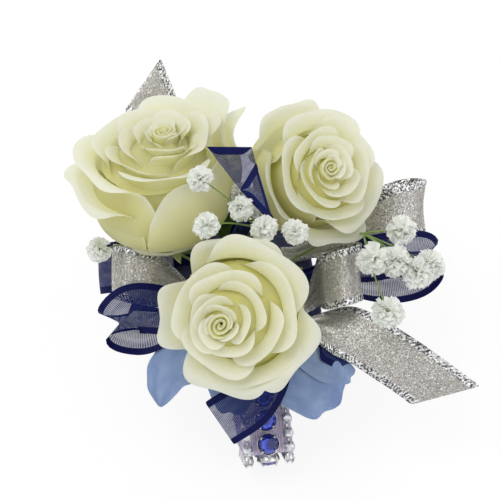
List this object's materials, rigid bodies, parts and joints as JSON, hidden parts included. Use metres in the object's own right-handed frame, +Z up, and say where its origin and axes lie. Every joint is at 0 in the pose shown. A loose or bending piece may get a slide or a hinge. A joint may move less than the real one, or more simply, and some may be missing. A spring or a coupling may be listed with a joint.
{
  "type": "wrist corsage",
  "caption": "Wrist corsage: cream roses, silver and navy ribbon, blue fabric leaves and baby's breath on a stretch bracelet of prong-set stones.",
  "frame": {"origin": "middle of the table of the lowest blue stone, on the surface that the bracelet lies on", "axes": "+Z up through the flowers, X along the wrist, the front rose and the bracelet's fold towards -Y"},
  "size_m": [0.1432, 0.1609, 0.1167],
  "materials": {
    "sapphire": "faceted, polished",
    "plated_metal": "bright plated",
    "clear_settings": "faceted, polished",
    "elastic": "satin, translucent",
    "felt": "napped",
    "greenery": "satin",
    "stem_tape": "waxed crepe",
    "rose_petals": "soft satin",
    "silver_ribbon": "metallic weave",
    "navy_ribbon": "sheer weave with satin edges",
    "blue_fabric": "matt weave",
    "babys_breath": "matt"
  },
  "bodies": {
    "corsage": {"blue_leaf_front": "blue_fabric", "blue_leaf_left": "blue_fabric", "blue_leaf_right": "blue_fabric", "elastic_back": "elastic", "elastic_front": "elastic", "felt_pad": "felt", "front_rose_calyx": "greenery", "front_rose_heart": "rose_petals", "front_rose_inner_petals": "rose_petals", "front_rose_middle_petals": "rose_petals", "front_rose_outer_petals": "rose_petals", "front_rose_stem": "stem_tape", "green_leaf_centre": "greenery", "green_leaf_right": "greenery", "left_rose_calyx": "greenery", "left_rose_heart": "rose_petals", "left_rose_inner_petals": "rose_petals", "left_rose_middle_petals": "rose_petals", "left_rose_outer_petals": "rose_petals", "left_rose_stem": "stem_tape", "navy_end_centre": "navy_ribbon", "navy_end_right": "navy_ribbon", "navy_loop_far_left": "navy_ribbon", "navy_loop_left": "navy_ribbon", "navy_loop_right": "navy_ribbon", "right_rose_calyx": "greenery", "right_rose_heart": "rose_petals", "right_rose_inner_petals": "rose_petals", "right_rose_middle_petals": "rose_petals", "right_rose_outer_petals": "rose_petals", "right_rose_stem": "stem_tape", "silver_loop_front": "silver_ribbon", "silver_loop_left": "silver_ribbon", "silver_loop_right": "silver_ribbon", "sprig_centre": "babys_breath", "sprig_left": "babys_breath", "sprig_right": "babys_breath", "wristlet_plate": "plated_metal"},
    "band": {"blue_cup_chain": "plated_metal", "blue_stone_01": "sapphire", "blue_stone_02": "sapphire", "blue_stone_03": "sapphire", "blue_stone_04": "sapphire", "blue_stone_05": "sapphire", "blue_stone_06": "sapphire", "blue_stone_07": "sapphire", "blue_stone_08": "sapphire", "blue_stone_09": "sapphire", "blue_stone_10": "sapphire", "blue_stone_11": "sapphire", "blue_stone_12": "sapphire", "blue_stone_13": "sapphire", "blue_stone_14": "sapphire", "clear_chain_left": "clear_settings", "clear_chain_right": "clear_settings", "elastic_band": "elastic"},
    "silver_tail_front": {"silver_tail_front": "silver_ribbon"},
    "silver_tail_back": {"silver_tail_back": "silver_ribbon"},
    "navy_tail": {"navy_tail": "navy_ribbon"}
  },
  "joints": [
    {"name": "bracelet_stretch", "type": "slide", "parent": "corsage", "child": "band", "axis": [0, 0, -1], "range_m": [0, 0.008], "stiffness_N_per_m": 200, "deforming": ["elastic_front", "elastic_back"]},
    {"name": "silver_tail_front_sway", "type": "hinge", "parent": "corsage", "child": "silver_tail_front", "pos_m": [0.012, 0.003, 0.05], "axis": [0, 0, 1], "range_deg": [-6, 0], "stiffness_Nm_per_rad": 0.02},
    {"name": "silver_tail_back_lift", "type": "hinge", "parent": "corsage", "child": "silver_tail_back", "pos_m": [-0.013, 0.052, 0.0491], "axis": [1, 0, 0], "range_deg": [0, 6], "stiffness_Nm_per_rad": 0.02},
    {"name": "navy_tail_lift", "type": "hinge", "parent": "corsage", "child": "navy_tail", "pos_m": [0.001, 0.004, 0.0491], "axis": [-1, 0, 0], "range_deg": [0, 4], "stiffness_Nm_per_rad": 0.02}
  ]
}
